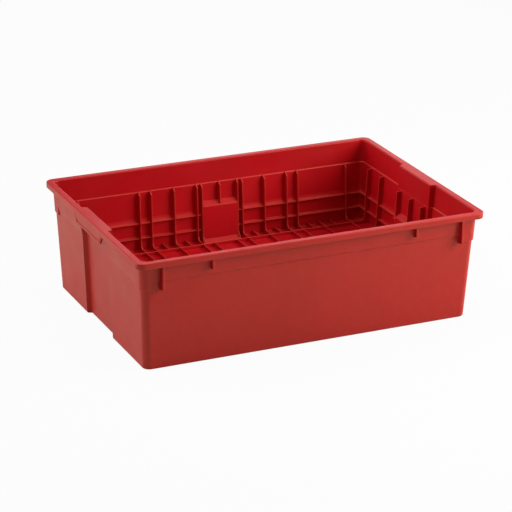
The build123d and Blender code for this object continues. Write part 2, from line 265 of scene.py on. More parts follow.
class RibSizes(PropertyGroup):
    """Sizes of the lattice inside the tub"""

    pitch: length("Pitch", "Distance between upright ribs", 42 * MM)
    thickness: length("Rib", "Thickness of an upright rib at the wall", 3 * MM)
    front: length("Rib front", "Thickness of an upright rib at its free edge", 1.7 * MM)
    depth: length("Depth", "How far an upright rib stands in from the wall", 8.5 * MM)
    tip_run: length("Tip run", "Run of a rib's sloped tip", 6.5 * MM)
    tip_drop: length("Tip drop", "Drop of a rib's sloped tip on the long walls", 4 * MM)
    end_tip_drop: length("End tip drop", "Drop of a rib's sloped tip on the ends", 1 * MM)
    foot: length("Foot", "How far a rib bends out over the floor", 7.4 * MM)
    foot_rise: length("Foot rise", "Height over which a rib bends out", 9 * MM)
    end_spacing: length("End spacing", "Distance between the plain ribs of an end", 45 * MM)
    rail_depth: length("Rail depth", "How far a level rail stands in from the wall", 6.5 * MM)
    rail_face: length("Rail face", "Height of a rail's upright face", 1.0 * MM)
    upper_slope: length("Upper slope", "Height of the hollow over the upper rail", 11 * MM)
    upper_hollow: length("Upper hollow", "Depth of the upper rail's hollow at its foot", 1.6 * MM)
    lower_slope: length("Lower slope", "Height of the hollow over the lower rail", 2 * MM)
    lower_hollow: length("Lower hollow", "Depth of the lower rail's hollow at its foot", 1.6 * MM)
    pad_drop: length("Pad drop", "Drop of a pad's sloped top", 7 * MM)
    pad_foot: length("Pad foot", "Run of a pad's sloped foot", 7 * MM)
    floor_rib: length("Floor rib", "Thickness of a floor rib", 1.4 * MM)
    gusset: length("Gusset", "Thickness of a rim gusset", 3 * MM)
    rounding: length("Rounding", "Rounding of the free edges of ribs and pads", 0.7 * MM)


class TubLooks(PropertyGroup):
    """Colours of the plastic and the stage"""

    plastic: tint("Plastic", "Red of the polypropylene", "BE0618")
    plastic_deep: tint("Deep plastic", "Deeper red of its flow marks", "B40514")
    # Paler red that paints highlights on edges, the ledge, rail noses and floor-rib tops and a faint
    # sheen outside, as well as wear
    plastic_highlight_and_wear: tint("Pale plastic, worn and highlit", "Paler red of worn edges, also painted highlights", "CC5342")
    gleam: tint("Gleam", "Tint of the skin's reflections", "FFF6D0")
    floor: tint("Floor", "Colour of the studio floor", "CECECE")
    floor_glow: tint("Floor glow", "Floor's colour in reflections", "FFFBE3")


class StageSizes(PropertyGroup):
    """Camera and lamps"""

    azimuth: angle("Azimuth", "Camera's turn from the front", -24.52)
    elevation: angle("Elevation", "Camera's height over the horizon", 21.18)
    roll: angle("Roll", "Camera's roll", 0.60)
    distance: length("Distance", "From the camera to the tub's origin, along the view", 3823 * MM)
    across: length("Across", "How far the origin lies right of the view's middle", 7.2 * MM)
    rise: length("Rise", "How far the origin lies above the view's middle", -74.4 * MM)
    focal: FloatProperty(
        name="Focal length",
        description="Focal length in picture widths",
        default=FOCAL_PIXELS / PICTURE_PIXELS,
    )
    key: watts("Key", "Power of the low softbox in front on the right", 30.0)
    top: watts("Top", "Power of the panel overhead", 3.5)
    left: watts("Left", "Power of the panel behind on the left", 121.0)
    right: watts("Right", "Power of the panel on the right", 5.0)
    back: watts("Back", "Power of the panel behind", 3.8)
    ambient: strength("Ambient", "Strength of the surroundings as light", 0.08)
    shine: strength("Shine", "Strength of the surroundings in reflections", 0.15)


# Row of the moulding's section: where it lies, where it moves to over a grip, how far it drops at
# the corners and on the plain ends, and how far it is painted paler, as wear and as painted highlight
Row = namedtuple(
    "Row", "base z out grip_out grip_z corner_drop end_drop rubbed", defaults=(0.0, 0.0, 0.0)
)


def sizes():
    """Sizes of the moulding."""
    return bpy.context.scene.tub_sizes


def rib_sizes():
    """Sizes of the lattice."""
    return bpy.context.scene.tub_ribs


def draft_share(z):
    """Share of the wall's outward draft at height z."""
    return z / (rim_corner.z - sizes().skirt_depth)


def half_length(z):
    """Half the length over the drafted end walls at height z."""
    low = sizes().base_half_length
    return low + (rim_corner.x - sizes().overhang - low) * draft_share(z)


def half_width(z):
    """Half the width over the drafted long walls at height z."""
    low = sizes().base_half_width
    return low + (rim_corner.y - sizes().overhang - low) * draft_share(z)


def soft_ramp(value):
    """Ramp from 0 to 1 with rounded ends."""
    if value <= -RAMP_BLEND:
        return 0.0
    if value < RAMP_BLEND:
        return (value + RAMP_BLEND) ** 2 / (4 * RAMP_BLEND)
    if value <= 1 - RAMP_BLEND:
        return value
    if value < 1 + RAMP_BLEND:
        return 1 - (1 + RAMP_BLEND - value) ** 2 / (4 * RAMP_BLEND)
    return 1.0


def quarter():
    """Cosine and sine at even steps of a quarter turn."""
    turns = [math.pi / 2 * step / EDGE_STEPS for step in range(EDGE_STEPS + 1)]
    return [(math.cos(turn), math.sin(turn)) for turn in turns]


def recess_share(across):
    """How far a point of the end wall is pressed in, by its distance from the grip's middle."""
    return soft_ramp((sizes().grip_half - abs(across)) / sizes().grip_slant)


def lip_half():
    """Half the width of the grip's lip."""
    return sizes().grip_half - sizes().lip_inset


def lip_share(across):
    """How far the skirt is let down to the grip's lip."""
    return soft_ramp((lip_half() - abs(across)) / LIP_RAMP + 0.5)


def grip_stations():
    """Distances from the grip's middle where the end wall's section is drawn."""
    size = sizes()
    found = [size.grip_half - share * size.grip_slant for share in RECESS_STATIONS]
    found += [lip_half() + share * LIP_RAMP for share in LIP_STATIONS]
    found += [share * size.grip_half for share in PANEL_STATIONS]
    found = sorted({round(value, PLACE_DIGITS) for value in found})
    return [-value for value in reversed(found)] + [0.0] + found


def half_ring(row):
    """Right end, back right corner, back and back left corner of one row, as points."""
    on_rim = row.base == "rim"
    share_at = lip_share if on_rim else recess_share
    corner_z = row.z - row.corner_drop
    end_z = row.z - row.end_drop

    def halves(z):
        if on_rim:
            return rim_corner.x + row.out, rim_corner.y + row.out
        return half_length(z) + row.out, half_width(z) + row.out

    def end_point(y, z, share=0.0):
        return (halves(z)[0] + (row.grip_out - row.out) * share, y, z)

    def long_point(x, z):
        return (x, halves(z)[1], z)

    def corner(start):
        half_x, half_y = halves(corner_z)
        radius = (sizes().rim_radius if on_rim else sizes().wall_radius) + row.out
        radius = max(radius, LEAST_RADIUS)
        side = 1 if start == 0 else -1
        turns = [start + math.pi / 2 * step / CORNER_STEPS for step in range(CORNER_STEPS + 1)]
        return [
            (
                side * (half_x - radius) + radius * math.cos(turn),
                half_y - radius + radius * math.sin(turn),
                corner_z,
            )
            for turn in turns
        ]

    points = [
        end_point(-corner_start.y - SEAM, corner_z),
        end_point(-corner_start.y + SEAM, end_z),
    ]
    for across in grip_stations():
        share = share_at(across)
        points.append(end_point(grip_middle + across, end_z + (row.grip_z - end_z) * share, share))
    points += [
        end_point(corner_start.y - SEAM, end_z),
        end_point(corner_start.y + SEAM, corner_z),
    ]
    points += corner(0) + [long_point(corner_start.x + SEAM, corner_z)]
    run = corner_start.x - SEAM
    points += [
        long_point(run - 2 * run * step / LONG_STEPS, row.z) for step in range(LONG_STEPS + 1)
    ]
    points += [long_point(-corner_start.x - SEAM, corner_z)] + corner(math.pi / 2)
    return points


def sweep(rows, closed):
    """Mesh through the rows all round the tub; an open sweep gets a cap at each end."""
    mesh = bmesh.new()
    rubbed = mesh.faces.layers.float.new(HIGHLIGHT_AND_WEAR)
    rings = []
    for row in rows:
        half = half_ring(row)
        whole = half + [(-x, -y, z) for x, y, z in half]
        rings.append([mesh.verts.new(point) for point in whole])
    numbers = list(range(len(rows)))
    for number, following in zip(numbers, numbers[1:] + numbers[:closed]):
        ring, next_ring = rings[number], rings[following]
        share = min(rows[number].rubbed, rows[following].rubbed)
        count = len(ring)
        for index in range(count):
            after = (index + 1) % count
            face = mesh.faces.new((ring[index], next_ring[index], next_ring[after], ring[after]))
            face[rubbed] = share
    if not closed:
        mesh.faces.new(rings[0])
        mesh.faces.new(list(reversed(rings[-1])))
    bmesh.ops.recalc_face_normals(mesh, faces=mesh.faces)
    return mesh


def wall_row(z, out, pressed, corner_drop=0.0, end_drop=0.0, rubbed=0.0):
    """Row on the drafted wall, set out from its face; over a recess it moves to pressed."""
    return Row("wall", z, out, pressed, z - end_drop, corner_drop, end_drop, rubbed)


def rim_row(z, inset, lip_inset=None, lip_z=None):
    """Row on the rim, set in from its outer edge; over a grip it moves to the lip's inset and height."""
    lip_inset = inset if lip_inset is None else lip_inset
    lip_z = z if lip_z is None else lip_z
    # The rim is painted faintly paler in patches: partly wear, partly a painted sheen
    return Row("rim", z, -inset, -lip_inset, lip_z, rubbed=OUTSIDE_SHEEN_AND_WEAR)


def inside_rows():
    """Section from the floor up the inside of the wall to the top of the rim."""
    size = sizes()
    wall, band = -size.wall, size.jog - size.wall
    panel = wall - size.recess
    ledge, ledge_edge = rib_box[1].z, size.ledge_edge
    top, edge = rim_corner.z, size.rim_inner_edge
    rows = [
        wall_row(
            floor_box[1].z + FLOOR_FILLET * (1 - c),
            wall - FLOOR_FILLET * (1 - s),
            panel - FLOOR_FILLET * (1 - s),
        )
        for c, s in quarter()
    ]
    # The ledge's rounded edge is painted paler: a painted highlight line, partly wear
    rows += [
        wall_row(ledge - ledge_edge * (1 - s), wall + ledge_edge * (1 - c), panel, rubbed=LEDGE_HIGHLIGHT_AND_WEAR)
        for c, s in quarter()
    ]
    rows += [
        wall_row(ledge + CREASE_RISE, band - CREASE_RUN, panel),
        wall_row(ledge + CREASE_RISE + CREASE_RUN, band, panel),
    ]
    rows += [
        wall_row(top - edge * (1 - s), band + edge * (1 - c), panel + edge * (1 - c))
        for c, s in quarter()
    ]
    return rows


def rim_rows():
    """Section over the rim's outer edge, down its skirt or the grip's lip, and up behind it."""
    size = sizes()
    top, edge = rim_corner.z, size.rim_edge
    low, lip_low = top - size.skirt_depth, lip_box[0].z
    flange_low = long_wall_box[1].z
    groove_low = lip_low + size.groove_rise
    groove_high = groove_low + size.groove_height
    groove = (
        (0, groove_high + 2 * GROOVE_EDGE),
        (GROOVE_EDGE, groove_high),
        (size.groove, groove_high - GROOVE_EDGE),
        (size.groove, groove_low + GROOVE_EDGE),
        (GROOVE_EDGE, groove_low),
        (0, groove_low - 2 * GROOVE_EDGE),
    )
    rows = [rim_row(top - edge * (1 - c), edge * (1 - s)) for c, s in quarter()]
    rows += [
        rim_row(low + GROOVE_LINES_TOP - step * GROOVE_LINES_GAP, 0, inset, z)
        for step, (inset, z) in enumerate(groove)
    ]
    rows += [
        rim_row(low + SKIRT_EDGE, 0, 0, lip_low + SKIRT_EDGE),
        rim_row(low + SKIRT_EDGE_TURN, SKIRT_EDGE_TURN, SKIRT_EDGE_TURN, lip_low + SKIRT_EDGE_TURN),
        rim_row(low, SKIRT_EDGE, SKIRT_EDGE, lip_low),
        rim_row(low, size.skirt - CHAMFER, size.lip - CHAMFER, lip_low),
        rim_row(low + CHAMFER, size.skirt, size.lip, lip_low + CHAMFER),
        rim_row(flange_low - CHAMFER, size.skirt, size.lip),
        rim_row(flange_low, size.skirt + CHAMFER, size.lip + CHAMFER),
    ]
    return rows


def outside_rows():
    """Section from under the rim down the outside of the wall, round its foot and up to the floor."""
    size = sizes()
    wall, jog, edge = -size.wall, size.jog, size.edge
    panel, pressed = wall - size.recess, -size.recess
    flange_low = long_wall_box[1].z
    step_top = rib_box[1].z + size.step_lift
    step_low = step_top - size.step_rise
    drop = step_low - tall_gusset_box[0].z
    rows = [
        wall_row(flange_low, jog + UNDER_RIM, pressed + UNDER_RIM),
        wall_row(flange_low - UNDER_RIM_TURN, jog + UNDER_RIM_TURN, pressed + UNDER_RIM_TURN),
        wall_row(flange_low - UNDER_RIM, jog, pressed),
        wall_row(step_top + CHAMFER, jog, pressed, drop),
        wall_row(step_top, jog - STEP_TURN, pressed, drop),
        wall_row(step_low, STEP_TURN, pressed, drop, END_STEP_EASE),
        wall_row(step_low - CHAMFER, 0, pressed, drop, END_STEP_EASE),
    ]
    rows += [
        wall_row(edge * (1 - s), -edge * (1 - c), pressed - edge * (1 - c)) for c, s in quarter()
    ]
    rows += [
        wall_row(0, wall + CHAMFER, panel + CHAMFER),
        wall_row(CHAMFER, wall, panel),
    ]
    rows += [
        wall_row(
            floor_box[0].z - FLOOR_FILLET * (1 - s),
            wall - FLOOR_FILLET * (1 - c),
            panel - FLOOR_FILLET * (1 - c),
        )
        for c, s in quarter()
    ]
    # The whole outside is painted faintly paler in patches: partly wear, partly a painted sheen
    return [row._replace(rubbed=OUTSIDE_SHEEN_AND_WEAR) for row in rows]


def prism(mesh, outline, place, thickness):
    """Adds an upright plate: an outline of (run, height) points with a thickness at each point."""
    sides = []
    for side in (-0.5, 0.5):
        corners = [place(run, side * thickness(run, z), z) for run, z in outline]
        sides.append([mesh.verts.new(corner) for corner in corners])
    near, far = sides
    mesh.faces.new(near)
    mesh.faces.new(list(reversed(far)))
    count = len(outline)
    for index in range(count):
        after = (index + 1) % count
        mesh.faces.new((near[after], near[index], far[index], far[after]))


def even(width):
    """Thickness of a plate that is the same all over."""
    return lambda run, z: width


def drafted(face):
    """Thickness of an upright rib, which thins from the wall to its free edge."""
    ribs = rib_sizes()

    def thickness(run, z):
        share = min(max((run - face(z)) / ribs.depth, 0.0), 1.0)
        return ribs.front + (ribs.thickness - ribs.front) * share

    return thickness


def round_edges(mesh, width):
    """Rounds every edge that turns by more than the least turn, and paints its rounding paler, as wear
    and as a painted highlight.
    """
    bmesh.ops.recalc_face_normals(mesh, faces=mesh.faces)
    rubbed = mesh.faces.layers.float.new(HIGHLIGHT_AND_WEAR)
    sharp = [e for e in mesh.edges if e.is_manifold and e.calc_face_angle(0.0) > LEAST_TURN]
    rounded = bmesh.ops.bevel(
        mesh, geom=sharp, offset=width, offset_type="OFFSET", segments=BEVEL_STEPS,
        profile=ROUND_PROFILE, affect="EDGES", clamp_overlap=True, loop_slide=True,
    )
    for face in rounded["faces"]:
        face[rubbed] = RIB_HIGHLIGHT_AND_WEAR


def rib_outline(face, top, tip_drop):
    """Upright rib with a sloped tip and a foot that bends out over the floor."""
    ribs = rib_sizes()
    low = floor_rib_box[1].z
    bend = low + ribs.foot_rise
    points = [
        (face(top) + ribs.depth + BURIED, top),
        (face(top) + ribs.tip_run, top),
        (face(top), top - tip_drop),
    ]
    for step in range(FOOT_STEPS + 1):
        turn = math.pi / 2 * step / FOOT_STEPS
        run = face(bend) - ribs.foot * (1 - math.cos(turn))
        points.append((run, bend - ribs.foot_rise * math.sin(turn)))
    points.append((face(bend) - ribs.foot, low - BURIED))
    points.append((face(low) + ribs.depth + BURIED, low - BURIED))
    return points


def stub_outline(face, top, tip_drop, low):
    """Short upright rib that ends in the top of a pad."""
    ribs = rib_sizes()
    return [
        (face(top) + ribs.depth + BURIED, top),
        (face(top) + ribs.tip_run, top),
        (face(top), top - tip_drop),
        (face(low), low),
        (face(low) + ribs.depth + BURIED, low),
    ]


def pad_outline(face, top):
    """Pad with a sloped top, down to its foot."""
    ribs = rib_sizes()
    low = floor_rib_box[1].z - BURIED
    brow = top - ribs.pad_drop
    slope = ribs.pad_drop / ribs.depth
    return [
        (face(top) + ribs.depth + BURIED, top + slope * BURIED),
        (face(brow) - PLATE_LIFT, brow),
        (face(low) - PLATE_LIFT, low),
        (face(low) + ribs.depth + BURIED, low),
    ]


def foot_outline(face):
    """Sloped foot of a pad, down to the floor."""
    low, high = floor_box[1].z, floor_rib_box[1].z
    heel = face(high) + rib_sizes().depth
    toe = face(high) - rib_sizes().pad_foot
    return [(heel, high), (face(high), high), (toe, low), (toe, low - OVERLAP), (heel, low - OVERLAP)]


def side_face(z):
    """Front of the back wall's ribs at height z."""
    return half_width(z) - sizes().wall - rib_sizes().depth


def end_face(z):
    """Front of the right end's plain ribs at height z."""
    return half_length(z) - sizes().wall - rib_sizes().depth


def grip_face(z):
    """Front of the ribs on the right end's pressed-in panel at height z."""
    return end_face(z) - sizes().recess


def side_place(x):
    """Places a plate against the back wall."""
    return lambda run, across, z: (x + across, run, z)


def end_place(y):
    """Places a plate against the right end wall."""
    return lambda run, across, z: (run, y - across, z)


def as_made(mesh):
    """Leaves a piece where it was made."""
    return mesh


def turned(mesh):
    """Turns a piece of the right end to the left end."""
    half_turn = Matrix.Rotation(math.pi, 3, "Z")
    bmesh.ops.rotate(mesh, verts=mesh.verts, cent=(0, 0, 0), matrix=half_turn)
    return mesh


def mirrored(mesh):
    """Mirrors a piece of the back wall to the front wall."""
    for vert in mesh.verts:
        vert.co.y = -vert.co.y
    bmesh.ops.reverse_faces(mesh, faces=mesh.faces)
    return mesh


LONG_WALLS = {"back": as_made, "front": mirrored}
ENDS = {"right": as_made, "left": turned}


def lattice(mesh, bars, low, high):
    """Adds level bars, each (x from, x to, y from, y to), as one closed mesh."""
    x_lines = sorted({round(x, PLACE_DIGITS) for bar in bars for x in bar[:2]})
    y_lines = sorted({round(y, PLACE_DIGITS) for bar in bars for y in bar[2:]})
    columns, rows = len(x_lines) - 1, len(y_lines) - 1
    verts = {}

    def vert(i, j, z):
        key = (i, j, z)
        if key not in verts:
            verts[key] = mesh.verts.new((x_lines[i], y_lines[j], z))
        return verts[key]

    def covered(i, j):
        x = (x_lines[i] + x_lines[i + 1]) / 2
        y = (y_lines[j] + y_lines[j + 1]) / 2
        return any(bar[0] < x < bar[1] and bar[2] < y < bar[3] for bar in bars)

    filled = {(i, j) for i in range(columns) for j in range(rows) if covered(i, j)}
    for i, j in sorted(filled):
        corners = ((i, j), (i + 1, j), (i + 1, j + 1), (i, j + 1))
        beside = ((i, j - 1), (i + 1, j), (i, j + 1), (i - 1, j))
        for z in (low, high):
            mesh.faces.new([vert(*corner, z) for corner in corners])
        for number, cell in enumerate(beside):
            if cell not in filled:
                start, end = corners[number], corners[(number + 1) % len(corners)]
                mesh.faces.new([vert(*start, low), vert(*end, low), vert(*end, high), vert(*start, high)])


def add_node(tree, kind, inputs=None, **settings):
    """Adds a node with its settings; an input is a value or a socket to link."""
    node = tree.nodes.new(kind)
    for key, value in settings.items():
        setattr(node, key, value)
    for key, value in (inputs or {}).items():
        if isinstance(value, bpy.types.NodeSocket):
            tree.links.new(value, node.inputs[key])
        else:
            node.inputs[key].default_value = value
    return node


def per_metre(millimetres):
    """Noise scale for features of this size."""
    return 1.0 / (millimetres * MM)


def moulded_polypropylene():
    """Injection-moulded polypropylene: an even, saturated red with a satin skin, a fine spark-eroded
    grain, faint flow marks, and slightly paler edges and tops that are partly wear and partly
    painted highlight, with a faint painted sheen over the outside."""
    looks = bpy.context.scene.tub_looks
    material = bpy.data.materials.new(PLASTIC_NAME)
    material.use_nodes = True
    tree = material.node_tree
    tree.nodes.clear()
    place = add_node(tree, "ShaderNodeTexCoord").outputs["Object"]
    # Flow marks: faint, broad swirls about 140 mm across
    flow = add_node(
        tree, "ShaderNodeTexNoise",
        {"Vector": place, "Scale": per_metre(140), "Detail": 3.0, "Roughness": 0.5},
    )
    flow_share = add_node(
        tree, "ShaderNodeMapRange",
        {"Value": flow.outputs["Fac"], "From Min": 0.35, "From Max": 0.65},
    )
    body = add_node(
        tree, "ShaderNodeMix",
        {"Factor": flow_share.outputs["Result"], "A": looks.plastic_deep, "B": looks.plastic},
        data_type="RGBA",
    )
    # Paler red, partly wear and partly painted light: painted highlights on the rounded edges, ledge,
    # rail noses and floor-rib tops, and a faint painted sheen over the outside, broken up by patches
    # about 9 mm across
    edge = add_node(tree, "ShaderNodeAttribute", attribute_name=HIGHLIGHT_AND_WEAR)
    patches = add_node(
        tree, "ShaderNodeTexNoise", {"Vector": place, "Scale": per_metre(9), "Detail": 4.0},
    )
    patch_share = add_node(
        tree, "ShaderNodeMapRange",
        {
            "Value": patches.outputs["Fac"],
            "From Min": 0.35,
            "From Max": 0.7,
            "To Min": 0.5,
            "To Max": 0.8,
        },
    )
    rubbed = add_node(
        tree, "ShaderNodeMath",
        {0: edge.outputs["Fac"], 1: patch_share.outputs["Result"]}, operation="MULTIPLY",
    )
    colour = add_node(
        tree, "ShaderNodeMix",
        {"Factor": rubbed.outputs["Value"], "A": body.outputs["Result"], "B": looks.plastic_highlight_and_wear},
        data_type="RGBA",
    )
    # Satin skin: a little more or less gloss in patches about 45 mm across
    sheen_patches = add_node(
        tree, "ShaderNodeTexNoise", {"Vector": place, "Scale": per_metre(45), "Detail": 5.0},
    )
    roughness = add_node(
        tree, "ShaderNodeMapRange",
        {
            "Value": sheen_patches.outputs["Fac"],
            "From Min": 0.3,
            "From Max": 0.7,
            "To Min": 0.36,
            "To Max": 0.44,
        },
    )
    # The real grain is about 0.2 mm, drawn 1.1 mm coarse so that it shows
    grain = add_node(
        tree, "ShaderNodeTexNoise", {"Vector": place, "Scale": per_metre(1.1), "Detail": 2.0},
    )
    bump = add_node(
        tree, "ShaderNodeBump",
        {"Height": grain.outputs["Fac"], "Strength": 0.08, "Distance": 0.3 * MM},
    )
    shader = add_node(
        tree, "ShaderNodeBsdfPrincipled",
        {
            "Base Color": colour.outputs["Result"],
            "Roughness": roughness.outputs["Result"],
            "IOR": 1.49,
            "Specular IOR Level": 0.42,
            "Specular Tint": looks.gleam,
            "Normal": bump.outputs["Normal"],
        },
    )
    add_node(tree, "ShaderNodeOutputMaterial", {"Surface": shader.outputs["BSDF"]})
    return material


def plastic():
    """The one plastic of the moulding, made on first use."""
    return bpy.data.materials.get(PLASTIC_NAME) or moulded_polypropylene()


def finish_piece(mesh, name, nodes):
    """Turns a mesh into a piece that stands for its nodes and takes the plastic."""
    data = bpy.data.meshes.new(name)
    mesh.to_mesh(data)
    mesh.free()
    piece = bpy.data.objects.new(name, data)
    bpy.context.collection.objects.link(piece)
    data.materials.append(plastic())
    for face in data.polygons:
        face.use_smooth = True
    weighted = piece.modifiers.new("even_shading", "WEIGHTED_NORMAL")
    weighted.keep_sharp = True
    weighted.weight = SHADING_WEIGHT
    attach(piece, BODY)
    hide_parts(*nodes)
    return piece


def named(*endings):
    """Frame nodes whose names end in one of these."""
    return [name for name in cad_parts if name.endswith(endings)]


class TUB_OT_shell(Operator):
    """Floor, walls, rim and grips as one continuous moulding"""

    bl_idname = "tub.shell"
    bl_label = "Moulded shell"

    def execute(self, context):
        mesh = sweep(inside_rows() + rim_rows() + outside_rows(), closed=False)
        nodes = named("_wall", "_corner", "_rim", "_grip_panel", "_grip_top", "_grip_lip", "floor_panel")
        finish_piece(mesh, "tub_shell", nodes)
        return {"FINISHED"}


class TUB_OT_side_ribs(Operator):
    """Upright ribs of the back and front walls"""

    bl_idname = "tub.side_ribs"
    bl_label = "Side ribs"

    def execute(self, context):
        ribs = rib_sizes()
        pad_edge = (side_pad_box[1].x - side_pad_box[0].x + ribs.thickness) / 2
        places = [pad_edge] + [step * ribs.pitch for step in RIB_STEPS]
        xs = [side_pad_middle + side * place for place in places for side in (-1, 1)]
        xs += [rib_box[0].x + ribs.thickness / 2, rib_box[1].x - ribs.thickness / 2]
        top = rib_box[1].z
        outline = rib_outline(side_face, top, ribs.tip_drop)
        stub = stub_outline(side_face, top, ribs.tip_drop, side_pad_box[1].z - ribs.pad_drop)
        for wall, moved in LONG_WALLS.items():
            mesh = bmesh.new()
            for x in xs:
                prism(mesh, outline, side_place(x), drafted(side_face))
            prism(mesh, stub, side_place(side_pad_middle), drafted(side_face))
            round_edges(mesh, ribs.rounding)
            finish_piece(moved(mesh), f"{wall}_upright_ribs", [f"{wall}_wall_ribs"])
        return {"FINISHED"}


class TUB_OT_end_ribs(Operator):
    """Upright ribs of the two ends"""

    bl_idname = "tub.end_ribs"
    bl_label = "End ribs"

    def execute(self, context):
        ribs = rib_sizes()
        corner_place = end_rib_box[1].y - ribs.thickness / 2
        top = end_rib_box[1].z
        plain = rib_outline(end_face, top, ribs.end_tip_drop)
        pressed = rib_outline(grip_face, top, ribs.end_tip_drop)
        stub = stub_outline(grip_face, top, ribs.end_tip_drop, end_pad_box[1].z - ribs.pad_drop)
        for end, moved in ENDS.items():
            mesh = bmesh.new()
            for y in (corner_place, corner_place - ribs.end_spacing):
                for side in (-1, 1):
                    prism(mesh, plain, end_place(side * y), drafted(end_face))
            for side in (-1, 1):
                prism(mesh, pressed, end_place(grip_middle + side * ribs.pitch), drafted(grip_face))
            prism(mesh, stub, end_place(grip_middle), drafted(grip_face))
            round_edges(mesh, ribs.rounding)
            finish_piece(moved(mesh), f"{end}_upright_ribs", [f"{end}_end_ribs", f"{end}_grip_ribs"])
        return {"FINISHED"}


def rail_section(low, slope, hollow):
    """Heights and insets of a level rail: a rounded nose, a narrow shelf and a hollow up the wall."""
    ribs = rib_sizes()
    wall, deep = -sizes().wall, -sizes().wall - ribs.rail_depth
    nose = NOSE_SHARE * ribs.rail_face
    shelf = low + ribs.rail_face + SHELF_RISE
    section = [(low, wall + BURIED)]
    section += [(low + nose * (1 - c), deep + nose * (1 - s)) for c, s in quarter()]
    for step in range(HOLLOW_STEPS + 1):
        rise = step / HOLLOW_STEPS
        depth = (hollow + HOLLOW_SUNK) * (1 - rise) ** HOLLOW_BEND
        section.append((shelf + slope * rise, wall + HOLLOW_SUNK - depth))
    section.append((shelf + slope, wall + BURIED))
    return section


class TUB_OT_rails(Operator):
    """Two level rails that run all round the inside"""

    bl_idname = "tub.rails"
    bl_label = "Level rails"

    def execute(self, context):
        size, ribs = sizes(), rib_sizes()
        upper_low = rail_box[1].z - UPPER_RAIL_HEIGHT
        rails = {
            "upper": (upper_low, ribs.upper_slope, ribs.upper_hollow),
            "lower": (rail_box[0].z, ribs.lower_slope, ribs.lower_hollow),
        }
        for name, (low, slope, hollow) in rails.items():
            shelf = -size.wall - hollow
            # The rail's nose and shelf are painted paler: a painted highlight line along the rail, partly
            # wear
            rows = [
                wall_row(z, out, out - size.recess, rubbed=RAIL_HIGHLIGHT_AND_WEAR * (out <= shelf))
                for z, out in rail_section(low, slope, hollow)
            ]
            nodes = named("_rails") if name == "upper" else []
            finish_piece(sweep(rows, closed=True), f"{name}_level_rail", nodes)
        return {"FINISHED"}


class TUB_OT_pads(Operator):
    """Pads in the middle of each wall's ribs"""

    bl_idname = "tub.pads"
    bl_label = "Pads"

    def execute(self, context):
        ribs = rib_sizes()
        side_width = side_pad_box[1].x - side_pad_box[0].x
        end_width = end_pad_box[1].y - end_pad_box[0].y
        for face, top, place, width, walls in (
            (side_face, side_pad_box[1].z, side_place(side_pad_middle), side_width, LONG_WALLS),
            (grip_face, end_pad_box[1].z, end_place(end_pad_middle), end_width, ENDS),
        ):
            for name, moved in walls.items():
                mesh = bmesh.new()
                prism(mesh, pad_outline(face, top), place, even(width))
                prism(mesh, foot_outline(face), place, even(width + 2 * ribs.thickness))
                round_edges(mesh, ribs.rounding)
                finish_piece(moved(mesh), f"{name}_rib_pad", [f"{name}_pad", f"{name}_pad_foot"])
        return {"FINISHED"}


class TUB_OT_floor_ribs(Operator):
    """Grid of low ribs on the raised floor"""

    bl_idname = "tub.floor_ribs"
    bl_label = "Floor ribs"

    def execute(self, context):
        size, ribs = sizes(), rib_sizes()
        low, high = floor_box[1].z - OVERLAP, floor_rib_box[1].z
        half = ribs.floor_rib / 2
        y_end = half_width(high) - size.wall + BURIED
        x_end = half_length(high) - size.wall + BURIED
        outer_row = side_foot_box[0].y - half
        outer_column = end_foot_box[0].x - half
        bars = []
        for side in (-1, 1):
            xs = [side_pad_middle + side * step * ribs.pitch for step in FLOOR_RIB_STEPS]
            bars += [(x - half, x + half, -y_end, y_end) for x in xs + [side * outer_column]]
            x = side_pad_middle + side * ribs.pitch / 2
            bars.append((x - half, x + half, -outer_row, outer_row))
            for step in SHORT_RIB_STEPS:
                x = side_pad_middle + side * step * ribs.pitch
                bars.append((x - half, x + half, -y_end, -outer_row))
                bars.append((x - half, x + half, outer_row, y_end))
            for row in range(FLOOR_ROWS):
                y = side * outer_row * (row + 0.5) / (FLOOR_ROWS - 0.5)
                reach = x_end - size.recess if abs(y) < size.grip_half else x_end
                bars.append((-reach, reach, y - half, y + half))
        mesh = bmesh.new()
        lattice(mesh, bars, low, high)
        round_edges(mesh, FLOOR_ROUNDING_SHARE * ribs.rounding)
        # The tops of the floor ribs are painted paler: a painted highlight where the light falls on them,
        # partly wear
        rubbed = mesh.faces.layers.float[HIGHLIGHT_AND_WEAR]
        for face in mesh.faces:
            if face.normal.z > FACES_UP:
                face[rubbed] = FLOOR_HIGHLIGHT_AND_WEAR
        finish_piece(mesh, "floor_lattice", ["floor_ribs"])
        return {"FINISHED"}


class TUB_OT_gussets(Operator):
    """Gussets outside, between the long walls and the rim"""

    bl_idname = "tub.gussets"
    bl_label = "Rim gussets"

    def execute(self, context):
        size, ribs = sizes(), rib_sizes()
        skirt_low = rim_corner.z - size.skirt_depth + OVERLAP
        flange_low = long_wall_box[1].z + OVERLAP
        tucked = rim_corner.y - size.skirt + OVERLAP
        root = half_width(flange_low) + size.jog - OVERLAP
        for kind, box in (("short", short_gusset_box), ("tall", tall_gusset_box)):
            low, edge = box[0].z, box[1].y
            jog = size.jog if low > rib_box[1].z + size.step_lift else 0.0
            outline = [
                (root, flange_low),
                (tucked, flange_low),
                (tucked, skirt_low),
                (edge, skirt_low),
                (edge, low + GUSSET_FOOT_RISE),
                (half_width(low) + jog - OVERLAP, low),
            ]
            place = box[1].x - ribs.gusset / 2
            for wall, moved in LONG_WALLS.items():
                mesh = bmesh.new()
                for x in (place, -place):
                    prism(mesh, outline, side_place(x), even(ribs.gusset))
                round_edges(mesh, GUSSET_ROUNDING)
                finish_piece(moved(mesh), f"{wall}_{kind}_rim_gussets", [f"{wall}_{kind}_gussets"])
        return {"FINISHED"}


